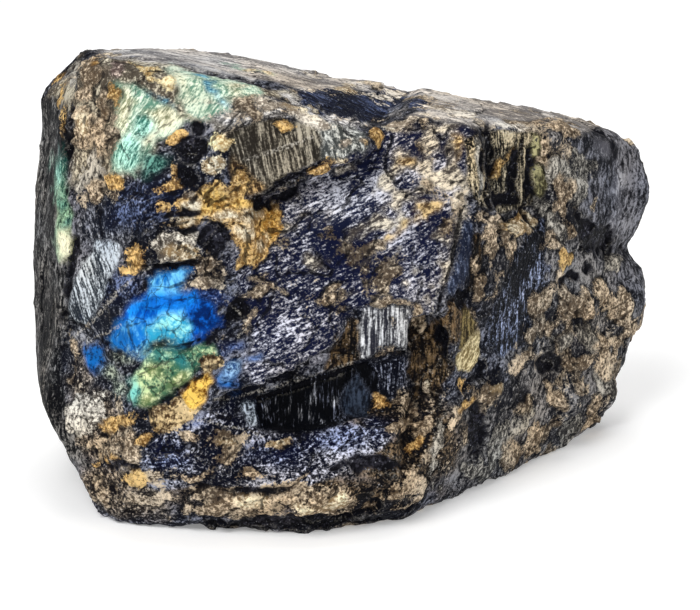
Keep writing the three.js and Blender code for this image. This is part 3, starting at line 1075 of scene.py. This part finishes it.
ragged = fractal(points, 1.7, 3, 5)
drift = fractal(points, 5, 2, 71)
crusted = fractal(points, 26, 2, 19) * 9   # the unseen sides have crusted stretches and bare ones
# Patches on the unseen sides, each from waves of a size in mm, octaves and a seed
farFields = {
    "rightRock": fractal(points, 18, 2, 57) * 20,
    "leftShade": fractal(points, 16, 2, 83) * 12 - 7 + 10 * gently(-normals[:, 0], 0.2, 0.9),
    "slab": fractal(points, 24, 2, 29) * 18 - 1,
    "topGrey": gently(normals[:, 2], 0.7, 0.95) * 14 - 9,
    "lumpGrey": fractal(points, 8, 3, 43) * 9 - 6 + crusted,
    "beige": fractal(points, 7, 3, 11) * 9 - 6 + crusted,
    "ochre": fractal(points, 6, 3, 23) * 9 - 8 + crusted,
    "cream": fractal(points, 4, 3, 31) * 8 - 8 + crusted,
    "blackPitsAndShade": fractal(points, 6, 3, 61) * 8 - 6.6,
}
blank = np.zeros(len(points))
bareRock = {"pale": (128, 130, 142), "dark": (12, 14, 23), "bias": -0.03, "way": (0.62, 0.2, 0.4)}
bare = {tone: blank[:, None] + fromBytes(bareRock[tone]) for tone in ("pale", "dark")}
tones = {"ground": dict(bare), "lumps": dict(bare)}
lumpField = blank + nowhere
way = np.zeros_like(points)
way[:] = bareRock["way"]
fine = blank + 1
painted = ("rough", "calm", "settle", "flash", "crumble", "raise", "paintedGlint", "speck")
bands = {name: blank + usual[name] for name in painted}
bands["bias"] = blank + bareRock["bias"]


def paintTones(finish, share):
    layer = tones[finish["layer"]]
    for tone in layer:
        layer[tone] = layer[tone] * (1 - share[:, None]) + fromBytes(finish[tone]) * share[:, None]


def paintBands(finish, share):
    for name in bands:
        if name != "settle" or finish["layer"] == "ground":
            bands[name] = bands[name] * (1 - share) + finish[name] * share
    run = np.array(grainWays[finish["way"]] if finish["way"] else (0, 0, 0), float)
    run *= math.sqrt(finish["stretch"]) / (np.linalg.norm(run) or 1)
    way[share > 0.5] = run
    fine[share > 0.5] = finish["fine"]


bend = np.stack((fractal(points, 3.5, 2, 101), fractal(points, 3.5, 2, 113)), 1)
cover = np.zeros(len(points))
for spots in crustCover.values():
    for *spot, amount in spots:
        near = spotField(pixels, *spot) / min(spot[2:4])
        cover = np.maximum(cover, amount * gently(near, 0, 0.5))
cover = cover * seen + np.clip(0.16 + 0.03 * crusted, 0, 0.36) * (1 - seen)
crustField = (fractal(points, 3.6, 4, 91) + 1.5 * (cover - 0.5)) * 8
crustField[cover < 0.02] = nowhere
shadedRim = blank
for name, given in finishes.items():
    finish = dict(usual, **given)
    edge = (ragged + drift * 0.7) * finish["wander"]
    nearField = placeField(pixels + finish["bend"] * bend, finish["places"]) + edge
    farField = farFields.get(name, blank + nowhere) + edge
    field = nearField * seen + farField * (1 - seen)
    if name == "crust":
        field = crustField
    share = gently(field, -finish["soft"], finish["soft"])
    paintBands(finish, share)
    if finish["layer"] == "lumps":
        # a lump's tones reach past its edge, which the grain breaks up
        share = np.maximum(share, gently(field, -9, -7) * (field > lumpField))
        lumpField = np.maximum(lumpField, field)
    else:
        lumpField = np.minimum(lumpField, -field)
    paintTones(finish, share)
    # a ring just outside each raised patch, carved in and darkened as painted shade
    around = gently(field, -4, -1.2) * (1 - gently(field, -0.8, 0.8))
    shadedRim = np.maximum(shadedRim * (1 - gently(field, 0, 2)), around * finish["shadedRim"])
bands["bias"] = bands["bias"] + 0.06 * fractal(points, 5, 3, 127)


def gapTo(lines):
    gap = np.min([lineDistance(pixels + 2 * bend, line) for line in lines.values()], axis=0)
    return np.where(seen > 0.3, np.minimum(gap + ragged, 12), 12)


crackAndShadowGap = gapTo(cracksAndShadowLines)
hairGap = gapTo(hairs)
veinGap = gapTo(veins)
shift = 1 + 0.16 * fractal(points, 2.2, 3, 37)[:, None]
warmth = fractal(points, 9, 2, 47)[:, None] * np.array((0.08, 0.01, -0.09))
for layer in tones.values():
    for tone in layer:
        layer[tone] = np.clip(layer[tone] * (shift + warmth), 0, 1)
print("finishes painted:", len(finishes))

# Relief
shaken = points + skin["blockWander"] * fractal(points, 4, 2, 15)[:, None]
blockOffset, blockOwner, _ = lumpCells(shaken, skin["blockSize"], 17)
tilt = np.stack([cornerValue(blockOwner, 41 + axis) for axis in range(3)], 1)
lumpEdge = lumpCells(points + skin["lumpWander"] * ragged[:, None], skin["lumpSize"], 7)[2]
loose = 1 - bands["calm"]
height = skin["blockTilt"] * np.sum(blockOffset * tilt, axis=1) * loose
height += skin["blockStep"] * cornerValue(blockOwner, 53) * loose
height += skin["lumpHeight"] * (gently(lumpEdge, 0, 0.45) - 0.6) * loose * (0.35 + bands["crumble"])
height += skin["grit"] * fractal(points, 1.4, 2, 3) * (0.25 + 0.75 * loose)
height += spread(bands["raise"], edges, 1)
height -= skin["crackDepth"] * (1 - gently(crackAndShadowGap, 0, skin["crackWidth"]))
height -= skin["rimDepth"] * shadedRim
settle = spread(bands["settle"], edges, 2)[:, None]
points = points * (1 - settle) + spread(points, edges, skin["settleRounds"]) * settle
outward = spread(normals, edges, skin["outwardRounds"])
outward /= np.linalg.norm(outward, axis=1)[:, None]
points = points + outward * height[:, None]
points[:, 2] = np.maximum(points[:, 2], 0)
writePoints(mesh, points)
normals = readNormals(mesh)
# how far each place lies in a hollow, small and wide, which sets the painted shade
hollow = np.sum((spread(points, edges, skin["hollowRounds"]) - points) * normals, axis=1)
deepHollow = np.sum((spread(points, edges, skin["deepRounds"]) - points) * normals, axis=1)
print("relief done: deepest hollow", round(float(deepHollow.max()), 2), "mm")


def keep(name, values):
    kind = "FLOAT_VECTOR" if values.ndim == 2 else "FLOAT"
    target = "vector" if values.ndim == 2 else "value"
    mesh.attributes.new(name, kind, "POINT").data.foreach_set(target, values.astype(np.float32).ravel())


kept = {
    "groundPale": tones["ground"]["pale"], "groundDark": tones["ground"]["dark"],
    "lumpPale": tones["lumps"]["pale"], "lumpDark": tones["lumps"]["dark"],
    "lumpField": np.clip(lumpField, -12, 12), "way": way, "fine": fine, "crackAndShadowGap": crackAndShadowGap,
    "hairGap": hairGap, "veinGap": veinGap, "hollow": hollow, "deepHollow": deepHollow, "shadedRim": shadedRim,
}
kept.update({name: bands[name] for name in ("bias", "rough", "flash", "crumble", "paintedGlint", "speck")})
for name, values in kept.items():
    keep(name, values)
mesh.polygons.foreach_set("use_smooth", np.ones(len(mesh.polygons), bool))


# Shader maths as Python: a wire is a socket, and a board is one material's nodes
class Wire:
    def __init__(self, board, socket):
        self.board = board
        self.socket = socket

    def __add__(self, other):
        return self.board.math("ADD", self, other)

    def __radd__(self, other):
        return self.board.math("ADD", other, self)

    def __sub__(self, other):
        return self.board.math("SUBTRACT", self, other)

    def __rsub__(self, other):
        return self.board.math("SUBTRACT", other, self)

    def __mul__(self, other):
        return self.board.math("MULTIPLY", self, other)

    def __rmul__(self, other):
        return self.board.math("MULTIPLY", other, self)


class Board:
    def __init__(self, name):
        self.material = bpy.data.materials.new(name)
        self.material.use_nodes = True
        self.tree = self.material.node_tree
        self.tree.nodes.clear()

    def node(self, kind, settings, values, out=0):
        made = self.tree.nodes.new(kind)
        for key, value in settings.items():
            setattr(made, key, value)
        for key, value in values.items():
            if isinstance(value, Wire):
                self.tree.links.new(value.socket, made.inputs[key])
            else:
                made.inputs[key].default_value = value
        return Wire(self, made.outputs[out]) if made.outputs else made

    def math(self, operation, *terms):
        return self.node("ShaderNodeMath", {"operation": operation}, dict(enumerate(terms)))

    def vector(self, operation, *terms, out=0):
        return self.node("ShaderNodeVectorMath", {"operation": operation}, dict(enumerate(terms)), out)

    def mark(self, name, out="Fac"):
        return self.node("ShaderNodeAttribute", {"attribute_name": name}, {}, out)

    def step(self, value, low, high):
        values = {"Value": value, "From Min": low, "From Max": high}
        return self.node("ShaderNodeMapRange", {"interpolation_type": "SMOOTHSTEP"}, values)

    def tint(self, a, b, share):
        return self.node("ShaderNodeMix", {"data_type": "RGBA"}, {0: share, 6: a, 7: b}, 2)

    def noise(self, place, size, detail=3, rough=0.55, out=0):
        values = {"Vector": place, "Scale": 1 / size, "Detail": detail, "Roughness": rough}
        return self.node("ShaderNodeTexNoise", {}, values, out)

    def finish(self, values):
        surface = self.node("ShaderNodeBsdfPrincipled", {}, values)
        self.node("ShaderNodeOutputMaterial", {}, {"Surface": surface})
        return self.material


# The finish's fine grain: sizes in mm, and how strongly each mark shows
grain = {
    "streakSize": 0.62,
    "broadSize": 2.2,
    "speckleSize": 0.34,
    "blotchSize": 2.6,
    "streakShare": 0.52,
    "broadShare": 0.16,
    "lift": 0.16,
    "contrast": 0.092,
    "darkness": 2,
    "bumpStrength": 0.7,
    "bumpHeight": 0.0004,   # metres
    "crackleSize": 1.9,
    "crackleBend": 1.4,
    "crackleWidth": 0.05,
    "crumbleWidth": 0.12,
    "edgeSpeck": 9,   # pixels, as are the hairs, cracks and veins
    "edgeStreak": 9,
    "hairEdge": (0.1, 1.3),
    "crackEdge": (0.4, 2),
    "veinEdge": (0.5, 2.6),
    # how hollow a place must be for painted shade, and how bulging for wear, in mm
    "hollowShadeFrom": (0.015, 0.075),
    "deepFrom": (0.15, 0.9),
    "wornFrom": (0.02, 0.1),
    "shares": {
        "crackle": 0.75, "hair": 0.8, "crackAndShadow": 0.92, "gap": 0.8, "deep": 0.6, "worn": 0.12, "vein": 0.5,
    },
    # colours of the dark marks (cracks, crackle and painted shade), of worn edges and veins, and of the
    # painted highlight specks
    "gap": (0.004, 0.004, 0.006, 1),
    "wear": (0.58, 0.54, 0.47, 1),
    "paintedGlint": (0.7, 0.72, 0.78, 1),
}


def stoneFinish():
    board = Board("labradorite")
    metres = board.node("ShaderNodeTexCoord", {}, {}, "Object")
    place = board.node("ShaderNodeVectorMath", {"operation": "SCALE"}, {0: metres, "Scale": millimetres})
    run = board.mark("way", "Vector")
    along = board.vector("DOT_PRODUCT", place, run, out="Value")
    back = board.node("ShaderNodeVectorMath", {"operation": "SCALE"}, {0: run, "Scale": along})
    streakPlace = board.node("ShaderNodeVectorMath", {"operation": "SCALE"}, {
        0: board.vector("SUBTRACT", place, back), "Scale": board.mark("fine")})
    streak = board.noise(streakPlace, grain["streakSize"], 3, 0.66)
    broad = board.noise(streakPlace, grain["broadSize"], 3, 0.6)
    speckle = board.noise(place, grain["speckleSize"], 2, 0.6)
    blotch = board.noise(place, grain["blotchSize"], 3, 0.6)
    flashShare = board.mark("flash")

    speck = (speckle - 0.5) * board.mark("speck")
    light = streak * grain["streakShare"] + broad * grain["broadShare"] + speck
    light = light + board.mark("bias") + grain["lift"]
    share = board.step(light, 0.5 - grain["contrast"], 0.5 + grain["contrast"])
    share = board.math("POWER", share, grain["darkness"])
    edge = board.mark("lumpField") + (speckle - 0.5) * grain["edgeSpeck"]
    edge = edge + (streak - 0.5) * grain["edgeStreak"]
    onLump = board.step(edge, -0.8, 0.8)
    darkTone = board.tint(board.mark("groundDark", "Color"), board.mark("lumpDark", "Color"), onLump)
    paleTone = board.tint(board.mark("groundPale", "Color"), board.mark("lumpPale", "Color"), onLump)
    colour = board.tint(darkTone, paleTone, share)
    # bright specks of painted highlight
    paintedGlint = board.step(speckle, 0.64, 0.72) * board.mark("paintedGlint")
    colour = board.tint(colour, grain["paintedGlint"], paintedGlint)

    # crackle in the flash, cracks and lines of painted shadow, painted shade in hollows, gaps and around
    # lumps, and worn edges
    shares = grain["shares"]
    bend = board.noise(place, grain["crackleBend"], 2, 0.5, "Color")
    cellPlace = board.vector("ADD", board.vector("MULTIPLY", place, (1, 1, 0.62)), bend)
    cells = board.node("ShaderNodeTexVoronoi", {"feature": "DISTANCE_TO_EDGE"}, {
        "Vector": cellPlace, "Scale": 1 / grain["crackleSize"]})
    lines = 1 - board.step(cells, 0.0, grain["crackleWidth"])
    crackle = lines * flashShare * board.step(blotch, 0.38, 0.52)
    # dark lines between lumps of crust, painted shade in their gaps
    crumble = (1 - board.step(cells, 0.0, grain["crumbleWidth"])) * board.mark("crumble")
    crackle = board.math("MAXIMUM", crackle, crumble * board.step(speckle, 0.36, 0.52))
    hair = (1 - board.step(board.mark("hairGap"), *grain["hairEdge"])) * shares["hair"]
    # dark cracks and hairs, and the lines of painted shadow under overhangs
    crackAndShadow = board.math("MAXIMUM", 1 - board.step(board.mark("crackAndShadowGap"), *grain["crackEdge"]), hair)
    hollow = board.mark("hollow")
    # painted shade in the hollows, darker in the deep hollows
    gap = board.step(hollow + (speckle - 0.5) * 0.03, *grain["hollowShadeFrom"]) * (1 - flashShare * 0.6)
    deep = board.step(board.mark("deepHollow"), *grain["deepFrom"])
    worn = board.step(0 - hollow, *grain["wornFrom"]) * board.step(speckle, 0.42, 0.6) * (1 - flashShare)
    vein = (1 - board.step(board.mark("veinGap"), *grain["veinEdge"])) * board.step(speckle, 0.44, 0.6)
    pale = board.math("MAXIMUM", worn * shares["worn"], vein * shares["vein"])
    colour = board.tint(colour, grain["wear"], pale)
    dark = board.math("MAXIMUM", crackle * shares["crackle"], crackAndShadow * shares["crackAndShadow"])
    dark = board.math("MAXIMUM", dark, gap * shares["gap"])
    dark = board.math("MAXIMUM", dark, deep * shares["deep"])
    # painted shade in the ring around raised patches
    dark = board.math("MAXIMUM", dark, board.mark("shadedRim") * board.step(speckle, 0.3, 0.5))
    colour = board.tint(colour, grain["gap"], dark)

    height = streak * 0.6 + speckle * 0.4
    bump = board.node("ShaderNodeBump", {}, {
        "Height": height, "Strength": grain["bumpStrength"], "Distance": grain["bumpHeight"]})
    return board.finish({
        "Base Color": colour, "Roughness": board.mark("rough"), "Normal": bump,
        "Specular IOR Level": 0.03})


mesh.materials.clear()
mesh.materials.append(stoneFinish())
stone = bpy.data.objects.new("labradoriteChunk", mesh)
scene.collection.objects.link(stone)
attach(stone, "root")
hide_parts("stone")
triangles = sum(len(face.vertices) - 2 for face in mesh.polygons)
print("stone finished:", triangles, "triangles")

# Floor, light and camera
studio = {
    "floorSize": 6,
    "floorColour": (0.9, 0.9, 0.9, 1),
    "floorGlow": 0.22,
    "worldStrength": 0.32,
    "aim": (0, 0, 0.03),
    "lights": {
        "key": {"at": (-0.32, -0.5, 0.7), "size": 0.45, "watts": 5.6},
        "fill": {"at": (0.6, -0.5, 0.4), "size": 0.7, "watts": 1.5},
        "top": {"at": (0.05, 0.3, 0.8), "size": 0.6, "watts": 3},
    },
}


def layFloor():
    half = studio["floorSize"] / 2
    corners = [(-half, -half, 0), (half, -half, 0), (half, half, 0), (-half, half, 0)]
    floorMesh = bpy.data.meshes.new("floor")
    floorMesh.from_pydata(corners, [], [(0, 1, 2, 3)])
    floorMesh.materials.append(Board("paleFloor").finish({
        "Base Color": studio["floorColour"], "Roughness": 0.9, "Specular IOR Level": 0.2,
        "Emission Color": (1, 1, 1, 1), "Emission Strength": studio["floorGlow"]}))
    floor = bpy.data.objects.new("floor", floorMesh)
    scene.collection.objects.link(floor)


def hangLights():
    world = bpy.data.worlds.new("softRoom")
    world.use_nodes = True
    world.node_tree.nodes["Background"].inputs["Color"].default_value = (1, 1, 1, 1)
    world.node_tree.nodes["Background"].inputs["Strength"].default_value = studio["worldStrength"]
    scene.world = world
    for name, values in studio["lights"].items():
        lamp = bpy.data.lights.new(name, "AREA")
        lamp.energy = values["watts"]
        lamp.size = values["size"]
        light = bpy.data.objects.new(name, lamp)
        light.location = values["at"]
        aim = Vector(studio["aim"]) - light.location
        light.rotation_euler = aim.to_track_quat("-Z", "Y").to_euler()
        scene.collection.objects.link(light)


def placeCamera():
    lens = bpy.data.cameras.new("photoView")
    lens.sensor_width = 36
    lens.lens = lens.sensor_width * photo["focal"] / photo["width"]
    camera = bpy.data.objects.new("photoView", lens)
    camera.location = Vector(eye / millimetres)
    camera.rotation_euler = (math.pi / 2 - lookDown, 0, 0)
    scene.collection.objects.link(camera)
    scene.camera = camera


layFloor()
hangLights()
placeCamera()
scene.view_settings.view_transform = "Standard"
print("floor, light and camera placed")
